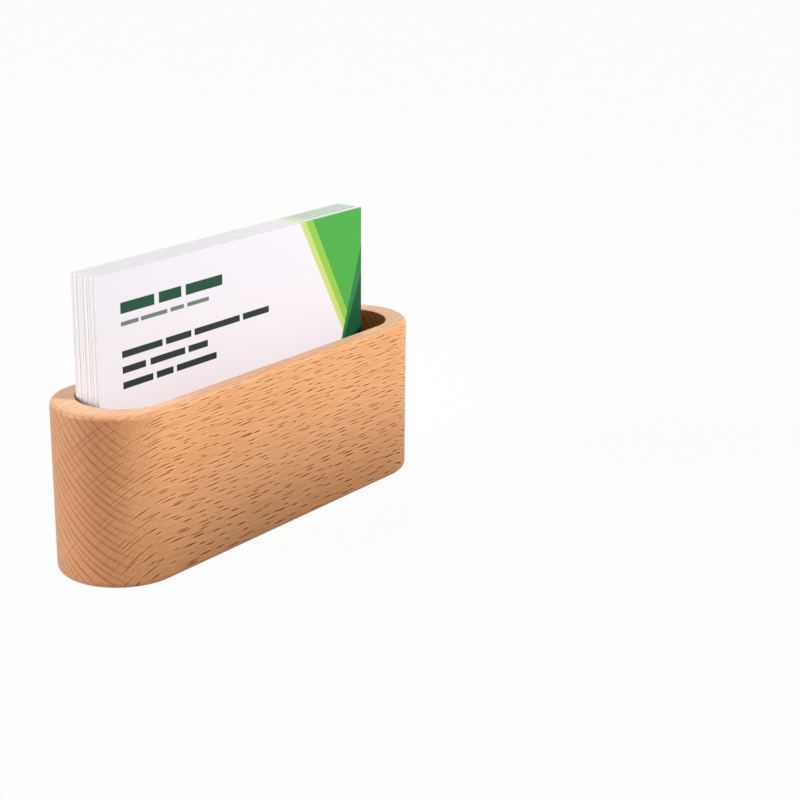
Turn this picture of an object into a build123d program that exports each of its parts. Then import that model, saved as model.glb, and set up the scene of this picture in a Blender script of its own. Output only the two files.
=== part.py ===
from build123d import *

import os
from math import radians, sin, sqrt

# A desk holder for business cards: one block of beech with round ends, a round-ended
# pocket cut into its top, and a stack of cards that stand in the pocket on their long edges.
# Millimetres, +Z up. The origin is the centre of the base, +X runs along the block,
# and -Y is the front, the side that the printed faces look towards.

# Business cards: a standard size, which the pocket is cut for
card_width = 90.0
card_height = 54.0
card_thickness = 0.32
card_count = 20
# Air between two cards of the stack
card_air_gap = 0.03
# The most that a card stands off centre along X, and the turn between one card's shift and the next
card_stagger = 0.1
stagger_turn_degrees = 137.5

# Pocket
pocket_width = 20.5
pocket_depth = 27.5
# The stack is pushed back until the rear corners meet the round ends: how far that is, as a share of
# the pocket's half width, and the play that is left between a corner and the round wall
stack_back_share = 0.69
corner_clearance = 0.2

# Block
end_wall = 5.9
side_wall = 3.75
floor_thickness = 10.5
# The rim is rounded towards the hand and only broken towards the pocket
rim_outer_radius = 1.2
rim_inner_radius = 0.3
base_edge_radius = 1.5

# How far a cutting body runs past the face that it opens
cut_overrun = 1.0

# Pocket length: the rear corners of the farthest shifted card touch the round ends, less their play
pocket_end_radius = pocket_width / 2
corner_radius_reach = pocket_end_radius - corner_clearance
stack_back = stack_back_share * corner_radius_reach
corner_past_centre = sqrt(corner_radius_reach**2 - stack_back**2)
end_centre = card_width / 2 + card_stagger - corner_past_centre
pocket_length = 2 * (end_centre + pocket_end_radius)

# Block size follows from the pocket and its walls
block_length = pocket_length + 2 * end_wall
block_width = pocket_width + 2 * side_wall
block_height = floor_thickness + pocket_depth

card_pitch = card_thickness + card_air_gap


def make_block():
    """The beech block, with its pocket and its eased edges."""
    body = extrude(SlotOverall(block_length, block_width), amount=block_height)
    cutter = extrude(SlotOverall(pocket_length, pocket_width), amount=pocket_depth + cut_overrun)
    body -= Pos(0, 0, floor_thickness) * cutter
    base_edges = body.faces().sort_by(Axis.Z).first.edges()
    body = fillet(base_edges, base_edge_radius)
    rim = body.faces().filter_by(Axis.Z).sort_by(Axis.Z).last
    body = fillet(rim.outer_wire().edges(), rim_outer_radius)
    rim = body.faces().filter_by(Axis.Z).sort_by(Axis.Z).last
    return fillet(rim.inner_wires()[0].edges(), rim_inner_radius)


def make_card(place):
    """One card of the stack, standing on the pocket floor.

    place counts from 0, the front card, to card_count - 1, the card at the back.
    """
    shift = card_stagger * sin(radians(stagger_turn_degrees * place))
    printed_face = stack_back - (card_count - 1 - place) * card_pitch - card_thickness
    middle_height = floor_thickness + card_height / 2
    face_plane = Plane(origin=(shift, printed_face, middle_height), x_dir=(1, 0, 0), z_dir=(0, 1, 0))
    return extrude(face_plane * Rectangle(card_width, card_height), amount=card_thickness)


os.makedirs("parts", exist_ok=True)

export_step(make_block(), "parts/beech_block.step")
for place in range(card_count):
    export_step(make_card(place), f"parts/card_{place + 1:02d}.step")

print(f"block {block_length:.2f} x {block_width:.2f} x {block_height:.2f} mm")
print(f"pocket {pocket_length:.2f} x {pocket_width:.2f} x {pocket_depth:.2f} mm, end centres at {end_centre:.3f}")
print(f"stack from y {stack_back - card_count * card_pitch + card_air_gap:.3f} to {stack_back:.3f}")
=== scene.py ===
"""Looks of a desk holder for business cards: a milled beech block and the printed cards in it.

Metres, in the frame of the solids: the origin is the centre of the base, +X runs along the
block, -Y is the front and +Z is up. Pattern sizes are given in millimetres.
"""

import logging
import math
from collections.abc import Callable, Mapping, Sequence
from dataclasses import dataclass
from enum import Enum
from functools import partial
from typing import Any

import bpy
from bpy.types import ColorRamp, Light, Material, Node, NodeSocket, NodeTree, Object
from mathutils import Matrix, Vector


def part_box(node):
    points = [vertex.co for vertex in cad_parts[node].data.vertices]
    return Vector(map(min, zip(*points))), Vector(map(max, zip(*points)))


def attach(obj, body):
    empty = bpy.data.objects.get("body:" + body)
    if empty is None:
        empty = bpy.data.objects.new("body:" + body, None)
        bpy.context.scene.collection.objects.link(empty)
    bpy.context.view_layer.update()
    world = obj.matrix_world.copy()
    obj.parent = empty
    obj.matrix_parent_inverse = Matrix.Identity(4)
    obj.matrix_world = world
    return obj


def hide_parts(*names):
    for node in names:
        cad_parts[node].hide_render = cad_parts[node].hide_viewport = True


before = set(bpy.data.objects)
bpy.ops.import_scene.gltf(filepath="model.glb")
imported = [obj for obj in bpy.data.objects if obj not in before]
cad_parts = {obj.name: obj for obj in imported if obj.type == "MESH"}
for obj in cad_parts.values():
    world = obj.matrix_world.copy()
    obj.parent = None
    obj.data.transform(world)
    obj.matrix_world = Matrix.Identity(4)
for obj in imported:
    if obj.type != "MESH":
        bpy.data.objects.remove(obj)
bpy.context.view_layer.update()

MM = 0.001
# Points closer than this are one point
MERGE_DISTANCE = 0.001 * MM
WHITE = "#FFFFFF"
LOG = logging.getLogger("card_holder")

Span = tuple[float, float]
Triple = tuple[float, float, float]
Source = Node | NodeSocket
Adder = Callable[..., Node]


def linear(hex_colour: str) -> tuple[float, float, float, float]:
    """Turn an sRGB hex colour into linear light.

    Args:
        hex_colour: Six hex digits after a hash sign.

    Returns:
        Red, green, blue and an alpha of one.
    """
    shares = [int(hex_colour[at:at + 2], 16) / 255 for at in (1, 3, 5)]
    red, green, blue = (s / 12.92 if s <= 0.04045 else ((s + 0.055) / 1.055) ** 2.4 for s in shares)
    return red, green, blue, 1.0


def add_node(tree: NodeTree, kind: str, inputs: Mapping[int | str, Any] | Sequence[Any] = (),
             operation: str = "", **settings: Any) -> Node:
    """Add one node to a tree, with its settings, values and links.

    Args:
        tree: The shader or geometry tree that gets the node.
        kind: The node's type name, which goes without the word ShaderNode for a shader node.
        inputs: What goes into its sockets, in their order, or by socket name or index. Each is a
            plain value, a node, whose first shown output is linked, an output socket, or a list of
            these for a socket that takes several.
        operation: What the node does, where it has a choice of operations.
        **settings: Other properties of the node itself.

    Returns:
        The new node.
    """
    node = tree.nodes.new(kind if "Node" in kind else f"ShaderNode{kind}")
    if operation:
        node.operation = operation
    for name, value in settings.items():
        setattr(node, name, value)
    for key, value in inputs.items() if isinstance(inputs, Mapping) else enumerate(inputs):
        for source in value if isinstance(value, list) else [value]:
            if isinstance(source, Node):
                source = next(socket for socket in source.outputs if socket.enabled)
            if isinstance(source, NodeSocket):
                tree.links.new(source, node.inputs[key])
            else:
                node.inputs[key].default_value = source
    return node


def set_greys(ramp: ColorRamp, stops: Sequence[Span]) -> None:
    """Give a colour ramp its stops, all of them greys.

    Args:
        ramp: The ramp.
        stops: Place and grey of each stop, in order.
    """
    while len(ramp.elements) < len(stops):
        ramp.elements.new(1.0)
    for element, (place, grey) in zip(ramp.elements, stops):
        element.position = place
        element.color = (grey, grey, grey, 1.0)


def new_material(name: str) -> tuple[Material, Adder]:
    """Make a material with an empty node tree.

    Args:
        name: The material's name.

    Returns:
        The material, and add_node for its tree.
    """
    material = bpy.data.materials.new(name)
    material.use_nodes = True
    material.node_tree.nodes.clear()
    return material, partial(add_node, material.node_tree)


def new_geometry_tree(name: str, inputs: Mapping[str, str]) -> tuple[NodeTree, Any]:
    """Make a geometry tree with named inputs and one geometry output.

    Args:
        name: The tree's name.
        inputs: Input name to socket type.

    Returns:
        The tree and the output sockets of its group input node.
    """
    tree = bpy.data.node_groups.new(name, "GeometryNodeTree")
    tree.interface.new_socket("Geometry", in_out="OUTPUT", socket_type="NodeSocketGeometry")
    for label, kind in inputs.items():
        tree.interface.new_socket(label, in_out="INPUT", socket_type=kind)
    return tree, add_node(tree, "NodeGroupInput").outputs


def grow(tree: NodeTree, name: str, values: Mapping[str, Any], even_normals: bool) -> Object:
    """Run a geometry tree and keep its result as a plain mesh object.

    Args:
        tree: The geometry tree.
        name: The new object's name.
        values: Input name to value, one for each input of the tree.
        even_normals: Whether large faces keep their own normals beside rounded edges.

    Returns:
        The object, at the origin, with no modifier left on it.
    """
    piece = bpy.data.objects.new(name, bpy.data.meshes.new(name))
    bpy.context.scene.collection.objects.link(piece)
    modifier = piece.modifiers.new("shape", "NODES")
    modifier.node_group = tree
    for item in tree.interface.items_tree:
        if item.in_out == "INPUT":
            modifier[item.identifier] = values[item.name]
    if even_normals:
        piece.modifiers.new("even_normals", "WEIGHTED_NORMAL").keep_sharp = True
    graph = bpy.context.evaluated_depsgraph_get()
    mesh = bpy.data.meshes.new_from_object(piece.evaluated_get(graph), preserve_all_data_layers=True,
                                           depsgraph=graph)
    piece.modifiers.clear()
    piece.data = mesh
    mesh.name = name
    return piece


@dataclass(frozen=True)
class RayFlecks:
    """The wood rays of beech: slim spindles along the grain, in sheets that stand on the tree's middle.

    Attributes:
        along_mm: Spacing along the grain.
        across_mm: Spacing round the tree.
        stagger: How far a row is set along from the row beside it, as a share of the spacing.
        scatter: How far the spindles leave even rows, from 0 to 1.
        half_length_mm: Half length of the shortest and of the longest spindle.
        half_width_mm: Half of a spindle's greatest width, a little more than a real one has, so that
            it shows.
        soft_mm: Width over which a spindle's edge fades.
        tip: How thin a spindle is, as a share of its width, where its ends start to fade.
        chance: Chances at which a spindle is the faintest and the strongest.
        strength: Strength of the faintest and of the strongest spindle.
        flank_mm: Width of the paler wood beside a spindle.
    """

    along_mm: float = 6.0
    across_mm: float = 0.74
    stagger: float = 0.38
    scatter: float = 0.86
    half_length_mm: Span = (0.8, 3.0)
    half_width_mm: float = 0.12
    soft_mm: float = 0.05
    tip: float = 0.35
    chance: Span = (0.1, 0.9)
    strength: Span = (0.7, 1.0)
    flank_mm: float = 0.4

    def mask(self, add: Adder, along: Source, across: Source) -> tuple[Source, Source]:
        """Draw the spindles.

        Args:
            add: Adds a node to the material's tree.
            along: The place along the grain, in mm.
            across: The place round the tree, in mm.

        Returns:
            The spindles, up to 1 inside, and the paler wood beside them, up to 1 at their edge.
        """
        row = add("Math", (across, self.across_mm), "DIVIDE")
        step = add("Math", (along, self.along_mm), "DIVIDE")
        column = add("Math", (row, self.stagger, step), "MULTIPLY_ADD")
        place = add("CombineXYZ", (column, row))
        cells = add("TexVoronoi", {"Vector": place, "Scale": 1.0, "Randomness": self.scatter},
                    voronoi_dimensions="2D", feature="F1")
        chance = add("SeparateColor", (cells.outputs["Color"],)).outputs
        away = add("VectorMath", (place, cells.outputs["Position"]), "SUBTRACT")
        off = add("SeparateXYZ", (away,)).outputs
        set_back = add("Math", (off[1], -self.stagger, off[0]), "MULTIPLY_ADD")
        off_along = add("Math", (set_back, self.along_mm), "MULTIPLY")
        off_across = add("Math", (off[1], self.across_mm), "MULTIPLY")
        half_length = add("MapRange", (chance[0], 0.0, 1.0, *self.half_length_mm))
        reach = add("Math", (off_along, half_length), "DIVIDE")
        squared = add("Math", (reach, reach), "MULTIPLY")
        taper = add("Math", (1.0, squared), "SUBTRACT", use_clamp=True)
        half_width = add("Math", (taper, self.half_width_mm), "MULTIPLY")
        side = add("Math", (off_across,), "ABSOLUTE")
        inside = add("Math", (half_width, side), "SUBTRACT")
        solid = add("MapRange", (inside, -self.soft_mm / 2, self.soft_mm / 2),
                    interpolation_type="SMOOTHSTEP")
        beside = add("MapRange", (inside, -self.flank_mm, 0.0))
        outside = add("Math", (beside, solid), "SUBTRACT", use_clamp=True)
        ends = add("MapRange", (taper, 0.0, self.tip))
        strength = add("MapRange", (chance[1], *self.chance, *self.strength))
        faded = add("Math", (ends, strength), "MULTIPLY")
        spindles = add("Math", (solid, faded), "MULTIPLY")
        flanks = add("Math", (outside, faded), "MULTIPLY")
        return spindles, flanks


@dataclass(frozen=True)
class OiledBeech:
    """Steamed beech, rubbed smooth with fine sandpaper and oiled.

    It gives the eye a warm tan ground, thin growth-ring arcs on the end grain, short dark ray
    flecks along the grain on the sides, fine fibre streaks and a satin shine, with a painted sheen
    on the rim and painted shade in the pocket. A pair of values is where an effect starts and where
    it is whole, or what it is at those two, unless a comment says otherwise.
    """

    name: str = "beech_steamed_sanded_oiled"
    pale: str = "#F6BC8B"
    tan: str = "#E8A46F"
    deep: str = "#B06C38"
    ring_line: str = "#844604"
    fleck: str = "#964600"
    flank: str = "#FFCD9E"
    # Painted sheen: pale peach laid over upward faces, so that the rim looks as pale as a glancing sheen
    # makes it
    painted_rim_sheen: str = "#F7CFAA"
    # Painted shade: dark brown laid over the walls inside the pocket, for the shade deep in it; the wood
    # there is no darker
    pocket: str = "#5A2406"
    flecks: RayFlecks = RayFlecks()
    # Where the tree's middle lies, along Y and Z, and how far from it the block was cut
    axis_mm: Span = (-85.0, 105.0)
    axis_distance_mm: float = 121.0
    # Growth rings, and how dark a ring is at places from its early to its late wood
    ring_width_mm: float = 1.55
    ring_unevenness_mm: float = 5.0
    ring_darkness: Sequence[Span] = ((0.0, 0.9), (0.1, 0.12), (0.45, 0.0), (0.76, 0.18), (0.94, 1.0))
    # How far the grain bends, and the sizes of its bends, patches of colour and breaks in its marks
    wander_reach_mm: float = 1.3
    wander_mm: Triple = (110.0, 24.0, 24.0)
    mottle_mm: Triple = (60.0, 14.0, 14.0)
    break_mm: Triple = (14.0, 3.0, 3.0)
    # Real fibres are some 0.02 mm thick. They are drawn in bundles of this size, so that they show
    fibre_mm: Triple = (9.0, 0.3, 0.3)
    broad_layers: float = 1.0
    fine_layers: float = 2.0
    # How squarely a surface cuts the grain where it is end grain, and where it shows the rings
    end_facing: Span = (0.45, 0.92)
    ring_facing: Span = (0.5, 0.92)
    # How far a surface looks up where it is the rim, which takes a sheen and a painted sheen
    up_facing: Span = (0.4, 0.95)
    # How far a surface looks out from the block's middle, in mm, in the pocket and outside it
    out_facing: Span = (-8.0, -2.0)
    # How nearly a surface lies along the sheets of rays, and what is left of the flecks there
    sheet_facing: Span = (0.97, 0.84)
    sheet_left: Span = (0.1, 1.0)
    # Share of each colour that is laid over the ground
    fibre_contrast: Span = (0.4, 0.75)
    fibre_share: float = 0.34
    end_share: float = 0.62
    # Painted sheen: the share of pale peach on upward faces
    painted_rim_sheen_share: float = 0.15
    # Painted shade: the share of dark brown inside the pocket
    pocket_painted_shade_share: float = 0.25
    ring_share: Span = (0.1, 0.8)
    ring_breaks: Span = (0.65, 0.35)
    ring_left: Span = (0.5, 1.0)
    fleck_breaks: Span = (0.42, 0.58)
    # In these pairs the first is for the sides, and the second for the end grain or the rim
    fleck_share: Span = (1.0, 0.6)
    flank_share: Span = (0.6, 0.0)
    fleck_least: Span = (0.75, 0.25)
    # Painted sheen: what is left of the flecks on upward faces, as a glancing sheen washes them out on the
    # rim
    fleck_left_under_sheen: Span = (1.0, 0.4)
    # Relief and shine of the oiled surface, with the shine of the sides and of the end grain
    relief_mm: float = 0.02
    relief_strength: float = 0.2
    rough_contrast: Span = (0.2, 0.8)
    roughness: Span = (0.45, 0.58)
    ior: float = 1.5
    shine: Span = (0.08, 0.7)
    sheen: float = 0.6
    sheen_roughness: float = 0.35

    def make(self) -> Material:
        """Build the material.

        Returns:
            The beech material.
        """
        material, add = new_material(self.name)
        grain = self.grain_place(add)
        from_axis = add("VectorMath", (grain, (0.0, *self.axis_mm)), "SUBTRACT")
        normal = add("NewGeometry").outputs["Normal"]
        facing = add("SeparateXYZ", (normal,)).outputs
        square = add("Math", (facing[0],), "ABSOLUTE")
        end_grain = add("MapRange", (square, *self.end_facing), interpolation_type="SMOOTHSTEP")
        upward = add("MapRange", (facing[2], *self.up_facing))
        outward = add("VectorMath", (grain, normal), "DOT_PRODUCT")
        open_air = add("MapRange", (outward, *self.out_facing))
        mottle = self.noise(add, grain, self.mottle_mm, self.fine_layers)
        fibre = self.noise(add, grain, self.fibre_mm, self.fine_layers)
        breaks = self.noise(add, grain, self.break_mm, self.broad_layers)

        fibre_share = add("MapRange", (fibre, *self.fibre_contrast, 0.0, self.fibre_share))
        end_share = add("Math", (end_grain, self.end_share), "MULTIPLY")
        # Painted sheen: upward faces, the rim most of all, are made paler
        painted_rim_sheen_share = add("Math", (upward, self.painted_rim_sheen_share), "MULTIPLY")
        # Painted shade: the walls inside the pocket are made darker
        pocket_painted_shade_share = add("MapRange", (open_air, 0.0, 1.0, self.pocket_painted_shade_share, 0.0))
        least = add("MapRange", (end_grain, 0.0, 1.0, *self.fleck_least))
        left = add("MapRange", (breaks, *self.fleck_breaks, least, 1.0))
        # Painted sheen: the flecks fade on upward faces
        fleck_left_under_sheen = add("MapRange", (upward, 0.0, 1.0, *self.fleck_left_under_sheen))
        for factor in (fleck_left_under_sheen, self.across_sheets(add, from_axis, normal)):
            left = add("Math", (left, factor), "MULTIPLY")
        flank_share, fleck_share = self.fleck_shares(add, from_axis, end_grain, left)
        layers = (
            (mottle, self.tan),
            (fibre_share, self.deep),
            (end_share, self.deep),
            (painted_rim_sheen_share, self.painted_rim_sheen),
            (pocket_painted_shade_share, self.pocket),
            (self.ring_lines(add, from_axis, square, breaks), self.ring_line),
            (flank_share, self.flank),
            (fleck_share, self.fleck),
        )
        colour: Any = linear(self.pale)
        for share, hue in layers:
            colour = add("Mix", {0: share, 6: colour, 7: linear(hue)}, data_type="RGBA")

        bump = add("Bump", {"Strength": self.relief_strength, "Distance": self.relief_mm * MM,
                            "Height": fibre}, invert=True)
        roughness = add("MapRange", (fibre, *self.rough_contrast, *self.roughness))
        shine = add("MapRange", (end_grain, 0.0, 1.0, *self.shine))
        shine = add("Math", (shine, open_air), "MULTIPLY")
        cut_fibres = add("Math", (end_grain, upward), "MAXIMUM")
        lit_fibres = add("Math", (cut_fibres, open_air), "MULTIPLY")
        sheen = add("Math", (lit_fibres, self.sheen), "MULTIPLY")
        surface = add("BsdfPrincipled",
                      {"Base Color": colour, "Roughness": roughness, "IOR": self.ior, "Normal": bump,
                       "Specular IOR Level": shine, "Sheen Weight": sheen,
                       "Sheen Roughness": self.sheen_roughness})
        add("OutputMaterial", {"Surface": surface})
        return material

    def grain_place(self, add: Adder) -> Node:
        """Give the place in the wood in mm, bent a little as a trunk's grain is.

        Args:
            add: Adds a node to the material's tree.

        Returns:
            The node with the bent place.
        """
        place = add("TexCoord").outputs["Object"]
        place_mm = add("VectorMath", {0: place, "Scale": 1 / MM}, "SCALE")
        bend = self.noise(add, place_mm, self.wander_mm, self.broad_layers).outputs["Color"]
        reach = (0.0, self.wander_reach_mm, self.wander_reach_mm)
        return add("VectorMath", (bend, reach, place_mm), "MULTIPLY_ADD")

    def noise(self, add: Adder, place: Source, size_mm: Triple, layers: float) -> Node:
        """Add soft noise whose cells have a real size.

        Args:
            add: Adds a node to the material's tree.
            place: The place in the wood, in mm.
            size_mm: Size of a cell along X, Y and Z.
            layers: Number of finer layers.

        Returns:
            The noise node.
        """
        cells = add("VectorMath", (place, size_mm), "DIVIDE")
        return add("TexNoise", {"Vector": cells, "Scale": 1.0, "Detail": layers})

    def fleck_shares(self, add: Adder, from_axis: Source, end_grain: Source, left: Source) -> list[Node]:
        """Draw the ray flecks and the paler wood beside them.

        Args:
            add: Adds a node to the material's tree.
            from_axis: The place in the wood from the tree's middle, in mm.
            end_grain: How far the surface is end grain.
            left: How much of the flecks is left on the surface.

        Returns:
            The share of the paler wood and the share of the flecks.
        """
        parts = add("SeparateXYZ", (from_axis,)).outputs
        angle = add("Math", (parts[2], parts[1]), operation="ARCTAN2")
        around = add("Math", (angle, self.axis_distance_mm), "MULTIPLY")
        spindles, flanks = self.flecks.mask(add, parts[0], around)
        shares = []
        for mask, levels in ((flanks, self.flank_share), (spindles, self.fleck_share)):
            share = add("MapRange", (end_grain, 0.0, 1.0, *levels))
            for factor in (left, mask):
                share = add("Math", (share, factor), "MULTIPLY")
            shares.append(share)
        return shares

    def across_sheets(self, add: Adder, from_axis: Source, normal: Source) -> Node:
        """Tell how far a surface cuts across the sheets of the rays.

        Args:
            add: Adds a node to the material's tree.
            from_axis: The place in the wood from the tree's middle, in mm.
            normal: The surface's normal.

        Returns:
            The node that is 1 across the sheets and near 0 where the surface lies along them.
        """
        off_sheet = add("VectorMath", (from_axis, (1.0, 0.0, 0.0)), "CROSS_PRODUCT")
        square = add("VectorMath", (off_sheet,), "NORMALIZE")
        along = add("VectorMath", (square, normal), "DOT_PRODUCT")
        flat = add("Math", (along,), "ABSOLUTE")
        return add("MapRange", (flat, *self.sheet_facing, *self.sheet_left))

    def ring_lines(self, add: Adder, from_axis: Source, square: Source, breaks: Source) -> Node:
        """Draw the dark late wood at the end of each growth ring.

        Args:
            add: Adds a node to the material's tree.
            from_axis: The place in the wood from the tree's middle, in mm.
            square: How squarely the surface cuts the grain.
            breaks: Noise that breaks the lines.

        Returns:
            The node with the share of the ring lines.
        """
        in_section = add("VectorMath", (from_axis, (0.0, 1.0, 1.0)), "MULTIPLY")
        radius = add("VectorMath", (in_section,), "LENGTH")
        years = add("Math", (radius, 1 / self.ring_unevenness_mm), "MULTIPLY")
        uneven = add("TexNoise", {"W": years, "Scale": 1.0, "Detail": self.broad_layers},
                     noise_dimensions="1D")
        count = add("Math", (radius, 1 / self.ring_width_mm, uneven), "MULTIPLY_ADD")
        within = add("Math", (count,), "FRACT")
        lines = add("ValToRGB", (within,))
        set_greys(lines.color_ramp, self.ring_darkness)
        shown = add("MapRange", (square, *self.ring_facing, *self.ring_share),
                    interpolation_type="SMOOTHSTEP")
        whole = add("MapRange", (breaks, *self.ring_breaks, *self.ring_left))
        left = add("Math", (shown, whole), "MULTIPLY")
        return add("Math", (lines, left), "MULTIPLY")


class CardSide(Enum):
    """The three kinds of surface that a printed card has."""

    FACE = "printed face"
    BACK = "plain back"
    EDGE = "cut edge"


@dataclass(frozen=True)
class Facet:
    """A straight-edged field of colour: all of the card on the right-hand side of a line.

    Attributes:
        start_mm: A point of the line, from the card's centre, across and up.
        end_mm: Another point of the line.
        colour: The field's colour.
    """

    start_mm: Span
    end_mm: Span
    colour: str

    def plane(self) -> tuple[Triple, float]:
        """Give the line as a direction square to it, and its distance from the card's centre.

        Returns:
            The unit direction in the card's plane, towards the right, and the distance in mm.
        """
        across = self.end_mm[0] - self.start_mm[0]
        up = self.end_mm[1] - self.start_mm[1]
        length = math.copysign(math.hypot(across, up), up)
        square = (up / length, 0.0, -across / length)
        return square, square[0] * self.start_mm[0] + square[2] * self.start_mm[1]


@dataclass(frozen=True)
class BarLine:
    """A printed line of plain bars.

    Attributes:
        middle_mm: Height of the line's middle, from the card's centre.
        height_mm: Height of the bars.
        bars_mm: Length of each bar.
        space_mm: Space between two bars.
        colour: The bars' colour.
        left_mm: Where the line starts, from the card's centre.
    """

    middle_mm: float
    height_mm: float
    bars_mm: Sequence[float]
    space_mm: float
    colour: str
    left_mm: float = -38.0

    def stops(self, width_mm: float) -> list[Span]:
        """Give the bars as stops of a ramp across the card: white in a bar, and black elsewhere.

        Args:
            width_mm: The card's width.

        Returns:
            Place and grey of each stop.
        """
        stops = [(0.0, 0.0)]
        start = self.left_mm + width_mm / 2
        for bar in self.bars_mm:
            stops += [(start / width_mm, 1.0), ((start + bar) / width_mm, 0.0)]
            start += bar + self.space_mm
        return stops


@dataclass(frozen=True)
class CoatedCard:
    """Matt coated card stock with an offset print, trimmed in a guillotine.

    It gives the eye a smooth, cool white, crisp straight-edged fields of green, plain bars, and
    cut edges that show the sheet and a little of the ink that bleeds over them, greyer on some
    cards with painted shade that stands in for the dark lines between the cards.
    """

    name: str = "card_stock_matt_coated"
    white: str = "#F0EDF5"
    core: str = "#F4F2F3"
    # Painted shade: a darker grey on the cut edges of some cards, card by card, for the dark lines between
    # the cards
    edge_painted_shade: str = "#E5E2E6"
    # The card's width, and the height of its middle above the table
    width_mm: float = 90.0
    middle_mm: float = 37.5
    facets: Sequence[Facet] = (
        Facet((21.5, 27.0), (36.5, 0.0), "#C9DC7F"),
        Facet((23.6, 27.0), (38.4, 0.0), "#93C94F"),
        Facet((26.2, 27.0), (40.6, 0.0), "#4EAA48"),
        Facet((45.0, 18.0), (38.6, 0.0), "#2B7F41"),
        Facet((45.0, 11.0), (40.0, 0.0), "#125234"),
    )
    lines: Sequence[BarLine] = (
        BarLine(19.0, 2.4, (10.0, 7.0, 12.0), 1.4, "#1D4B35"),
        BarLine(15.6, 0.9, (5.0, 8.0, 4.5, 7.0), 0.9, "#6F7F76"),
        BarLine(9.0, 1.5, (12.0, 8.0, 15.0, 9.0), 1.2, "#26332D"),
        BarLine(5.6, 1.5, (7.0, 11.0, 6.0), 1.2, "#26332D"),
        BarLine(2.2, 1.5, (9.0, 5.0, 13.0), 1.2, "#26332D"),
    )
    # The tooth of a real coating is some 0.05 mm wide. It is drawn coarser, so that it shows
    tooth_mm: float = 0.35
    tooth_layers: float = 2.0
    tooth_depth_mm: float = 0.004
    tooth_strength: float = 0.15
    # Where the tooth's noise starts to count and where it counts in full, and what it does there
    rough_contrast: Span = (0.2, 0.8)
    roughness: Span = (0.5, 0.6)
    cloud_contrast: Span = (0.3, 0.7)
    cloud_share: float = 0.06
    ior: float = 1.5
    specular_level: float = 0.2

    def make(self, side: CardSide) -> Material:
        """Build the material of one kind of surface.

        Args:
            side: The surface that it is for.

        Returns:
            The material.
        """
        material, add = new_material(f"{self.name}_{side.name.lower()}")
        place = add("TexCoord").outputs["Object"]
        place_mm = add("VectorMath", {0: place, "Scale": 1 / MM}, "SCALE")
        cells = add("VectorMath", {0: place_mm, "Scale": 1 / self.tooth_mm}, "SCALE")
        tooth = add("TexNoise", {"Vector": cells, "Scale": 1.0, "Detail": self.tooth_layers})
        if side is CardSide.EDGE:
            colour = self.edge_colour(add, place_mm)
        else:
            cloud = add("MapRange", (tooth, *self.cloud_contrast, 0.0, self.cloud_share))
            colour = add("Mix", {0: cloud, 6: linear(self.white), 7: linear(self.core)}, data_type="RGBA")
        if side is CardSide.FACE:
            colour = self.printed(add, place_mm, colour)
        bump = add("Bump", {"Strength": self.tooth_strength, "Distance": self.tooth_depth_mm * MM,
                            "Height": tooth})
        roughness = add("MapRange", (tooth, *self.rough_contrast, *self.roughness))
        surface = add("BsdfPrincipled",
                      {"Base Color": colour, "Roughness": roughness, "IOR": self.ior, "Normal": bump,
                       "Specular IOR Level": self.specular_level})
        add("OutputMaterial", {"Surface": surface})
        return material

    def printed(self, add: Adder, place_mm: Source, sheet: Node) -> Node:
        """Lay the print over the sheet's colour.

        Args:
            add: Adds a node to the material's tree.
            place_mm: The place on the card.
            sheet: The colour of the bare sheet.

        Returns:
            The node with the printed colour.
        """
        centred = add("VectorMath", (place_mm, (0.0, 0.0, self.middle_mm)), "SUBTRACT")
        parts = add("SeparateXYZ", (centred,)).outputs
        inks = []
        for facet in self.facets:
            square, distance = facet.plane()
            reach = add("VectorMath", (centred, square), "DOT_PRODUCT")
            ink = add("Math", (reach, distance), "GREATER_THAN")
            inks.append((ink, facet.colour))
        across = add("MapRange", (parts[0], -self.width_mm / 2, self.width_mm / 2))
        for line in self.lines:
            bars = add("ValToRGB", (across,))
            bars.color_ramp.interpolation = "CONSTANT"
            set_greys(bars.color_ramp, line.stops(self.width_mm))
            level = add("Math", (parts[2], line.middle_mm, line.height_mm / 2), "COMPARE")
            ink = add("Math", (bars, level), "MULTIPLY")
            inks.append((ink, line.colour))
        for ink, hue in inks:
            sheet = add("Mix", {0: ink, 6: sheet, 7: linear(hue)}, data_type="RGBA")
        return sheet

    def edge_colour(self, add: Adder, place_mm: Source) -> Node:
        """Give the colour of the cut edge, with the card's own tone of painted shade and some of the ink
        beside it.

        Args:
            add: Adds a node to the material's tree.
            place_mm: The place on the card.

        Returns:
            The node with the colour.
        """
        tone, ink = (add("Attribute", attribute_name=name, attribute_type="GEOMETRY").outputs["Fac"]
                     for name in ("tone", "ink"))
        # Painted shade: each card's tone mixes its edge towards the darker grey
        paper = add("Mix", {0: tone, 6: linear(self.core), 7: linear(self.edge_painted_shade)}, data_type="RGBA")
        print_over = self.printed(add, place_mm, paper)
        return add("Mix", {0: ink, 6: paper, 7: print_over}, data_type="RGBA")


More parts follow.
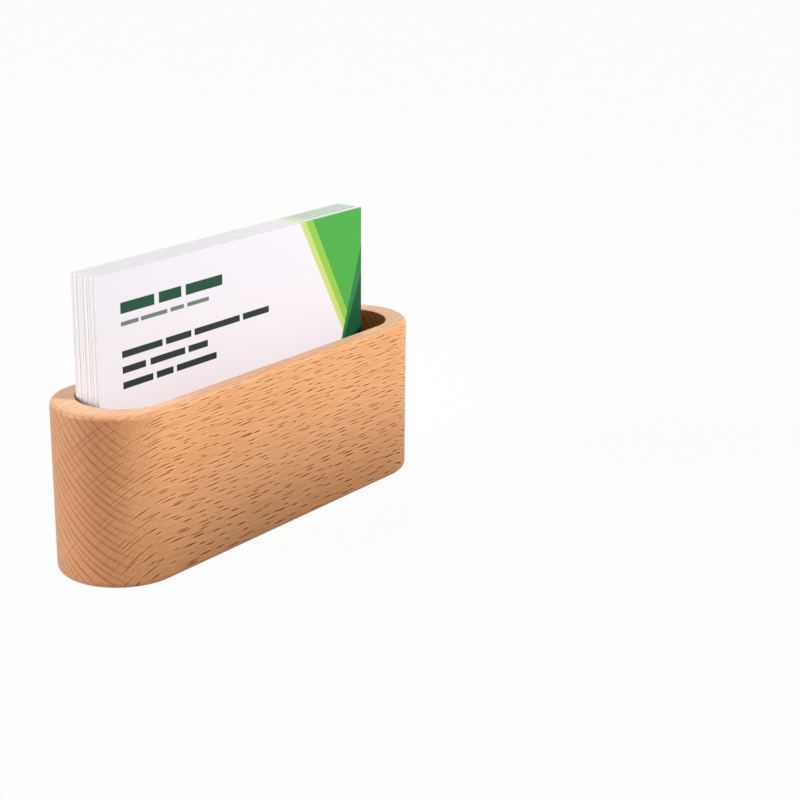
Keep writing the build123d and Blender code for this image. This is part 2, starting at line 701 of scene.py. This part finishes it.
@dataclass
class BeechBlock:
    """The block: round-ended outlines, one above the other, from the base over the rim into the pocket.

    Attributes:
        node: The solid that it stands for.
        body: The body that it rides on.
        side_wall: Thickness of the long walls.
        end_wall: Thickness of the wall at the middle of a round end.
        rim_outer: Radius of the rim's outer edge.
        rim_inner: Radius of the rim's edge to the pocket.
        base_edge: Radius of the bottom edge.
        arc_steps: Faces round one end.
        edge_steps: Points on a rounded edge.
        crease: Angle between two faces past which their edge is shaded sharp.
    """

    node: str = "beech_block"
    body: str = "block"
    side_wall: float = 3.75 * MM
    end_wall: float = 5.9 * MM
    rim_outer: float = 1.2 * MM
    rim_inner: float = 0.3 * MM
    base_edge: float = 1.5 * MM
    arc_steps: int = 64
    edge_steps: int = 10
    crease: float = math.radians(60)

    def build(self, finish: OiledBeech, floor_height: float) -> Object:
        """Make the block and set it on its body.

        Args:
            finish: The wood's finish.
            floor_height: Height of the pocket floor.

        Returns:
            The finished piece.
        """
        low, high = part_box(self.node)
        length, width, height = high - low
        pocket_width = width - 2 * self.side_wall
        pocket_length = length - 2 * self.end_wall
        values = {
            "End Centre": (length - width) / 2,
            "End Radius": width / 2,
            "Pocket Centre": (pocket_length - pocket_width) / 2,
            "Pocket Radius": pocket_width / 2,
            "Height": height,
            "Floor": floor_height,
            "Rim Outer": self.rim_outer,
            "Rim Inner": self.rim_inner,
            "Base Edge": self.base_edge,
            "Crease": self.crease,
            "Arc Steps": self.arc_steps,
            "Edge Steps": self.edge_steps,
            "Material": finish.make(),
        }
        piece = grow(self.shape(), "milled_beech_block", values, even_normals=True)
        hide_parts(self.node)
        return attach(piece, self.body)

    def shape(self) -> NodeTree:
        """Build the tree that lays a grid over the block, one row for each point of its section.

        Returns:
            The geometry tree.
        """
        sizes = ("End Centre", "End Radius", "Pocket Centre", "Pocket Radius", "Height", "Floor",
                 "Rim Outer", "Rim Inner", "Base Edge", "Crease")
        kinds = dict.fromkeys(sizes, "NodeSocketFloat") | {"Material": "NodeSocketMaterial"}
        kinds |= dict.fromkeys(("Arc Steps", "Edge Steps"), "NodeSocketInt")
        tree, given = new_geometry_tree("round_ended_block", kinds)
        add = partial(add_node, tree)
        section = self.section(tree, given)
        rows = add("GeometryNodeAttributeDomainSize", (section,), component="CURVE")
        steps = given["Arc Steps"]
        # A turn is two arcs, each with a point more than it has faces, and its first column comes twice
        turn = add("Math", (steps, 2.0, 2.0), "MULTIPLY_ADD")
        columns = add("Math", (turn, 1.0), "ADD")
        grid = add("GeometryNodeMeshGrid", {"Vertices X": columns, "Vertices Y": rows})

        index = add("GeometryNodeInputIndex")
        share = add("Math", (index, rows), "DIVIDE")
        column = add("Math", (share,), "FLOOR")
        row = add("Math", (index, rows), "FLOORED_MODULO")
        position = add("GeometryNodeInputPosition")
        where = add("GeometryNodeSampleIndex", (section, position, row), data_type="FLOAT_VECTOR")
        stored = add("GeometryNodeInputNamedAttribute", ("end_centre",), data_type="FLOAT")
        centre = add("GeometryNodeSampleIndex", (section, stored, row), data_type="FLOAT")
        radius, height, _ = add("SeparateXYZ", (where,)).outputs

        place = add("Math", (column, turn), "FLOORED_MODULO")
        far_end = add("Math", (place, steps), "GREATER_THAN")
        on_arc = add("Math", (place, far_end), "SUBTRACT")
        half_turns = add("Math", (on_arc, steps), "DIVIDE")
        angle = add("Math", (half_turns, math.pi, -math.pi / 2), "MULTIPLY_ADD")
        cosine = add("Math", (angle,), "COSINE")
        sine = add("Math", (angle,), "SINE")
        end = add("Math", (far_end, -2.0, 1.0), "MULTIPLY_ADD")
        end_x = add("Math", (end, centre), "MULTIPLY")
        x = add("Math", (radius, cosine, end_x), "MULTIPLY_ADD")
        y = add("Math", (radius, sine), "MULTIPLY")
        point = add("CombineXYZ", (x, y, height))
        wrapped = add("GeometryNodeSetPosition", {0: grid, 2: point})
        closed = add("GeometryNodeMergeByDistance", {0: wrapped, "Distance": MERGE_DISTANCE})
        fold = add("GeometryNodeInputMeshEdgeAngle")
        creased = add("FunctionNodeCompare", (fold, given["Crease"]), "GREATER_THAN")
        smooth = add("GeometryNodeSetShadeSmooth", (closed, True, True), domain="FACE")
        crisp = add("GeometryNodeSetShadeSmooth", (smooth, creased, False), domain="EDGE")
        plain = add("GeometryNodeRealizeInstances", (crisp,))
        dressed = add("GeometryNodeSetMaterial", (plain, True, given["Material"]))
        add("NodeGroupOutput", (dressed,))
        return tree

    def section(self, tree: NodeTree, given: Any) -> Node:
        """Draw the half section: distance from an end's centre along X, height along Y.

        Args:
            tree: The block's tree.
            given: The tree's inputs.

        Returns:
            The node with the section's curve, whose points also hold their end centre.
        """
        add = partial(add_node, tree)
        end, pocket = given["End Centre"], given["Pocket Centre"]
        corners = (
            (0.0, 0.0, None, end),
            (given["End Radius"], 0.0, given["Base Edge"], end),
            (given["End Radius"], given["Height"], given["Rim Outer"], end),
            (given["Pocket Radius"], given["Height"], given["Rim Inner"], pocket),
            (given["Pocket Radius"], given["Floor"], None, pocket),
            (0.0, given["Floor"], None, pocket),
        )
        index = add("GeometryNodeInputIndex")
        places, radii, centres = (add("GeometryNodeIndexSwitch", (index,), data_type=kind)
                                  for kind in ("VECTOR", "FLOAT", "FLOAT"))
        for switch in (places, radii, centres):
            while len(switch.index_switch_items) < len(corners):
                switch.index_switch_items.new()
        for number, (out, up, radius, centre) in enumerate(corners, start=1):
            point = add("CombineXYZ", (out, up))
            tree.links.new(point.outputs[0], places.inputs[number])
            tree.links.new(centre, centres.inputs[number])
            if radius is not None:
                tree.links.new(radius, radii.inputs[number])
        line = add("GeometryNodeCurvePrimitiveLine")
        points = add("GeometryNodeResampleCurve", {0: line, "Count": len(corners)})
        bent = add("GeometryNodeSetPosition", {0: points, 2: places})
        marked = add("GeometryNodeStoreNamedAttribute", {0: bent, "Name": "end_centre", "Value": centres},
                     data_type="FLOAT", domain="POINT")
        return add("GeometryNodeFilletCurve", {0: marked, "Radius": radii, "Count": given["Edge Steps"]},
                   mode="POLY")


@dataclass
class CardStack:
    """The stack of cards, each cut from one sheet and free to be lifted by itself.

    Attributes:
        corner: Radius of a card's corners.
        corner_steps: Points on a rounded corner.
        trim: The most that the guillotine takes off a card's height.
        tone_turn: Turn between one card's tone, its share of painted shade on the cut edges, and the next,
            in radians.
        tone_lead: How far the tones run ahead of the trims, in radians.
        ink_turn: Turn between one card's ink at the edges and the next, in radians.
        ink_share: Middle of the share of ink on the edges.
        ink_swing: How far that share swings.
        clean_cards: Number of cards at the front with almost no ink on their edges.
        clean_share: Share of ink on the edges of those.
        shift_seen: Share of the cards' sideways shifts that is left once the stack is knocked square.
        square_on: How far a face looks forward or back where it is the card's face or back.
    """

    corner: float = 0.25 * MM
    corner_steps: int = 4
    trim: float = 0.04 * MM
    tone_turn: float = 1.4
    tone_lead: float = 1.0
    ink_turn: float = 1.3
    ink_share: float = 0.3
    ink_swing: float = 0.25
    clean_cards: int = 5
    clean_share: float = 0.05
    shift_seen: float = 0.3
    square_on: float = 0.5

    def nodes(self) -> list[str]:
        """Name the solids of the cards, from the front card to the back."""
        return sorted(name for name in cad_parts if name.startswith("card_"))

    def floor_height(self) -> float:
        """Give the height of the floor that the cards stand on."""
        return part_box(self.nodes()[0])[0].z

    def build(self, finish: CoatedCard) -> list[Object]:
        """Make every card and set it on its body.

        Args:
            finish: The finish of the card stock.

        Returns:
            The finished cards, front to back.
        """
        surfaces = {side.name.title(): finish.make(side) for side in CardSide}
        tree = self.shape()
        cards = []
        for number, node in enumerate(self.nodes()):
            low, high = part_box(node)
            size = high - low
            turn = self.tone_turn * number
            cut = self.trim * (1 - math.sin(turn)) / 2
            ink = self.ink_share + self.ink_swing * math.sin(self.ink_turn * number)
            values = surfaces | {
                "Width": size.x,
                "Height": size.z - cut,
                "Thickness": size.y,
                "Corner": self.corner,
                "Corner Steps": self.corner_steps,
                "Centre": Vector((self.shift_seen * (low.x + high.x) / 2, high.y,
                                  (low.z + high.z - cut) / 2)),
                # Painted shade: the share of the darker grey on this card's cut edges
                "Tone": (1 + math.sin(turn + self.tone_lead)) / 2,
                "Ink": self.clean_share if number < self.clean_cards else ink,
            }
            card = grow(tree, f"printed_{node}", values, even_normals=False)
            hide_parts(node)
            cards.append(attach(card, node))
        return cards

    def shape(self) -> NodeTree:
        """Build the tree that cuts one card: a cornered outline, filled and given its thickness.

        Returns:
            The geometry tree.
        """
        kinds = dict.fromkeys(("Width", "Height", "Thickness", "Corner", "Tone", "Ink"), "NodeSocketFloat")
        kinds |= dict.fromkeys(("Face", "Back", "Edge"), "NodeSocketMaterial")
        kinds |= {"Corner Steps": "NodeSocketInt", "Centre": "NodeSocketVector"}
        tree, given = new_geometry_tree("trimmed_card", kinds)
        add = partial(add_node, tree)
        outline = add("GeometryNodeCurvePrimitiveQuadrilateral",
                      {"Width": given["Width"], "Height": given["Height"]})
        cornered = add("GeometryNodeFilletCurve", {0: outline, "Radius": given["Corner"],
                                                   "Count": given["Corner Steps"]}, mode="POLY")
        sheet = add("GeometryNodeFillCurve", (cornered,), mode="NGONS")
        upward = add("CombineXYZ", {2: given["Thickness"]})
        raised = add("GeometryNodeExtrudeMesh", {0: sheet, "Offset": upward, "Offset Scale": 1.0,
                                                 "Individual": False}, mode="FACES")
        back = add("GeometryNodeFlipFaces", (sheet,))
        both = add("GeometryNodeJoinGeometry", ([raised, back],))
        whole = add("GeometryNodeMergeByDistance", {0: both, "Distance": MERGE_DISTANCE})
        card = add("GeometryNodeSetShadeSmooth", (whole, True, False), domain="FACE")
        for mark in ("Tone", "Ink"):
            card = add("GeometryNodeStoreNamedAttribute",
                       {0: card, "Name": mark.lower(), "Value": given[mark]},
                       data_type="FLOAT", domain="POINT")
        stood = add("GeometryNodeTransform", {0: card, "Translation": given["Centre"],
                                              "Rotation": (math.pi / 2, 0.0, 0.0)})
        dressed = add("GeometryNodeRealizeInstances", (stood,))
        normal = add("GeometryNodeInputNormal")
        facing = add("SeparateXYZ", (normal,)).outputs[1]
        forward = add("FunctionNodeCompare", (facing, -self.square_on), "LESS_THAN")
        backward = add("FunctionNodeCompare", (facing, self.square_on), "GREATER_THAN")
        for faces, surface in ((True, "Edge"), (forward, "Face"), (backward, "Back")):
            dressed = add("GeometryNodeSetMaterial", (dressed, faces, given[surface]))
        add("NodeGroupOutput", (dressed,))
        return tree


@dataclass(frozen=True, kw_only=True)
class Lamp:
    """A soft square lamp of the studio.

    Attributes:
        name: What the lamp does.
        place: Where it hangs.
        target: The point that it shines at.
        size: Width of the lamp.
        level: Light that it gives a surface square to it at its target, where 1 renders a white as white.
        stretch: Width of the lamp and its beam as a multiple of their height.
        roll: How far the lamp is turned about its beam, in radians.
    """

    name: str
    place: Triple
    target: Triple
    size: float
    level: float
    stretch: float = 1.0
    roll: float = 0.0

    def hang(self) -> None:
        """Hang the lamp so that it shines at its target."""
        reach = Vector(self.target) - Vector(self.place)
        lamp = bpy.data.objects.new(self.name, self.light(reach.length_squared))
        lamp.location = self.place
        lamp.rotation_euler = reach.to_track_quat("-Z", "Y").to_euler()
        lamp.rotation_euler.rotate_axis("Z", self.roll)
        lamp.scale.x = self.stretch
        bpy.context.scene.collection.objects.link(lamp)

    def light(self, reach_squared: float) -> Light:
        """Make the lamp's light.

        Args:
            reach_squared: Square of the distance to the target.

        Returns:
            The light.
        """
        light = bpy.data.lights.new(self.name, "AREA")
        light.shape = "SQUARE"
        light.size = self.size
        # A flat lamp gives 1 / (pi * reach ** 2) of its power, and white sends back 1 / pi of that
        light.energy = self.level * math.pi ** 2 * reach_squared
        return light


@dataclass(frozen=True, kw_only=True)
class SoftSpot(Lamp):
    """A lamp whose beam fades from its middle to its edge.

    Attributes:
        beam: Angle of the beam from edge to edge, in radians.
        fade: Share of the beam that fades towards its edge.
    """

    beam: float
    fade: float = 1.0

    def light(self, reach_squared: float) -> Light:
        """Make the lamp's light.

        Args:
            reach_squared: Square of the distance to the target.

        Returns:
            The light.
        """
        light = bpy.data.lights.new(self.name, "SPOT")
        light.spot_size = self.beam
        light.spot_blend = self.fade
        light.shadow_soft_size = self.size / 2
        # A lamp that shines all round gives 1 / (4 * pi * reach ** 2) of its power
        light.energy = self.level * 4 * math.pi ** 2 * reach_squared
        return light


@dataclass(frozen=True)
class Viewpoint:
    """Where the camera stands, found from the block's outline and the cards' corners.

    Attributes:
        focal_pixels: Focal length in pixels of a square picture.
        picture_pixels: Width of that picture.
        sensor_mm: Width of the camera's sensor.
        nearest: Distance of the nearest thing that the camera shows.
        height: Height of the camera above the table.
        pitch: How far the camera looks down, in radians.
        roll: How far the camera is turned about its own axis, in radians.
        block_right: How far the block stands to the right of the camera.
        block_ahead: How far the block stands ahead of the camera.
        block_turn: How far the block's length is turned away from the picture, in radians.
    """

    focal_pixels: float = 1810.56
    picture_pixels: float = 800.0
    sensor_mm: float = 36.0
    nearest: float = 10 * MM
    height: float = 153.09 * MM
    pitch: float = 0.3091
    roll: float = 0.0089
    block_right: float = -36.02 * MM
    block_ahead: float = 393.81 * MM
    block_turn: float = 0.9486

    def place_camera(self) -> None:
        """Make the scene's camera."""
        data = bpy.data.cameras.new("camera")
        data.sensor_width = self.sensor_mm
        data.lens = self.focal_pixels / self.picture_pixels * self.sensor_mm
        data.clip_start = self.nearest
        camera = bpy.data.objects.new("camera", data)
        to_block = Matrix.Rotation(-self.block_turn, 4, "Z") @ Matrix.Translation(
            (-self.block_right, -self.block_ahead, self.height))
        aim = Matrix.Rotation(math.pi / 2 - self.pitch, 4, "X") @ Matrix.Rotation(self.roll, 4, "Z")
        camera.matrix_world = to_block @ aim
        bpy.context.scene.collection.objects.link(camera)
        bpy.context.scene.camera = camera


@dataclass(frozen=True)
class Studio:
    """A pale table in even soft light, seen against white.

    Attributes:
        ambient: Level of the light from all round.
        table_seen: The table's colour to the eye.
        table_bounce: The table's colour in the light that it throws up at the block.
        table_glow: Share of plain white that the eye sees in the table.
        table_side: Length of the table's side.
        table_drop: How far the table lies below the base, so that the two faces stay apart.
        lamps: The lamps.
    """

    ambient: float = 0.26
    table_seen: str = "#F4F4F3"
    table_bounce: str = "#B0A498"
    table_glow: float = 0.97
    table_side: float = 6.0
    table_drop: float = 0.02 * MM
    lamps: Sequence[Lamp] = (
        SoftSpot(name="key_from_front_right", place=(0.14, -0.42, 0.26), target=(0.034, -0.014, 0.109),
                 size=0.04, level=1.16, stretch=3.2, roll=math.radians(-11),
                 beam=math.radians(24), fade=0.25),
        SoftSpot(name="fill_from_front_left", place=(-0.17, -0.36, 0.2), target=(-0.05, -0.01, 0.009),
                 size=0.04, level=0.25, beam=math.radians(8)),
        SoftSpot(name="fill_from_back_right", place=(0.5, 0.35, 0.5), target=(0.06, 0.0, 0.02),
                 size=0.08, level=0.55, beam=math.radians(7)),
        Lamp(name="fill_from_left", place=(-0.7, 0.45, 0.32), target=(0.0, 0.0, 0.03),
             size=0.5, level=0.98),
    )

    def build(self) -> None:
        """Set up the table, the surrounding light and the lamps."""
        bpy.context.scene.view_settings.view_transform = "Standard"
        self.surround()
        self.lay_table()
        for lamp in self.lamps:
            lamp.hang()

    def seen_directly(self, add: Adder) -> Node:
        """Tell rays from the camera, from mirrors and through glass from the rest.

        Args:
            add: Adds a node to the tree of the world or of the table's material.

        Returns:
            The node that is 1 for such a ray and 0 for the others.
        """
        path = add("LightPath").outputs
        seen: Any = path["Is Camera Ray"]
        for kind in ("Is Glossy Ray", "Is Transmission Ray"):
            seen = add("Math", (seen, path[kind]), "MAXIMUM")
        return seen

    def surround(self) -> None:
        """Make the world: white to the eye, and even soft light on the object."""
        world = bpy.data.worlds.new("white_surround")
        bpy.context.scene.world = world
        world.use_nodes = True
        world.node_tree.nodes.clear()
        add = partial(add_node, world.node_tree)
        light = add("Background", {"Color": linear(WHITE), "Strength": self.ambient})
        white = add("Background", {"Color": linear(WHITE), "Strength": 1.0})
        mix = add("MixShader", (self.seen_directly(add), light, white))
        add("OutputWorld", {"Surface": mix})

    def lay_table(self) -> None:
        """Make the table top that the block stands on."""
        half = self.table_side / 2
        outline = ((-half, -half), (half, -half), (half, half), (-half, half))
        corners = [(x, y, -self.table_drop) for x, y in outline]
        mesh = bpy.data.meshes.new("table_top")
        mesh.from_pydata(corners, [], [range(len(corners))])
        mesh.materials.append(self.table_material())
        table = bpy.data.objects.new("table_top", mesh)
        bpy.context.scene.collection.objects.link(table)

    def table_material(self) -> Material:
        """Make the table's matt white paint, which gives the eye a plain pale ground with soft shadows.

        Returns:
            The material.
        """
        material, add = new_material("table_white_matt")
        matt = add("BsdfDiffuse", {"Color": linear(self.table_seen)})
        white = add("Emission", {"Color": linear(WHITE), "Strength": 1.0})
        seen = add("MixShader", (self.table_glow, matt, white))
        bounce = add("BsdfDiffuse", {"Color": linear(self.table_bounce)})
        mix = add("MixShader", (self.seen_directly(add), bounce, seen))
        add("OutputMaterial", {"Surface": mix})
        return material


def main() -> None:
    """Build the stage, the block and the cards."""
    logging.basicConfig(level=logging.INFO, format="%(name)s: %(message)s")
    Viewpoint().place_camera()
    Studio().build()
    stack = CardStack()
    block = BeechBlock().build(OiledBeech(), stack.floor_height())
    for piece in [block, *stack.build(CoatedCard())]:
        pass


if __name__ == "__main__":
    main()
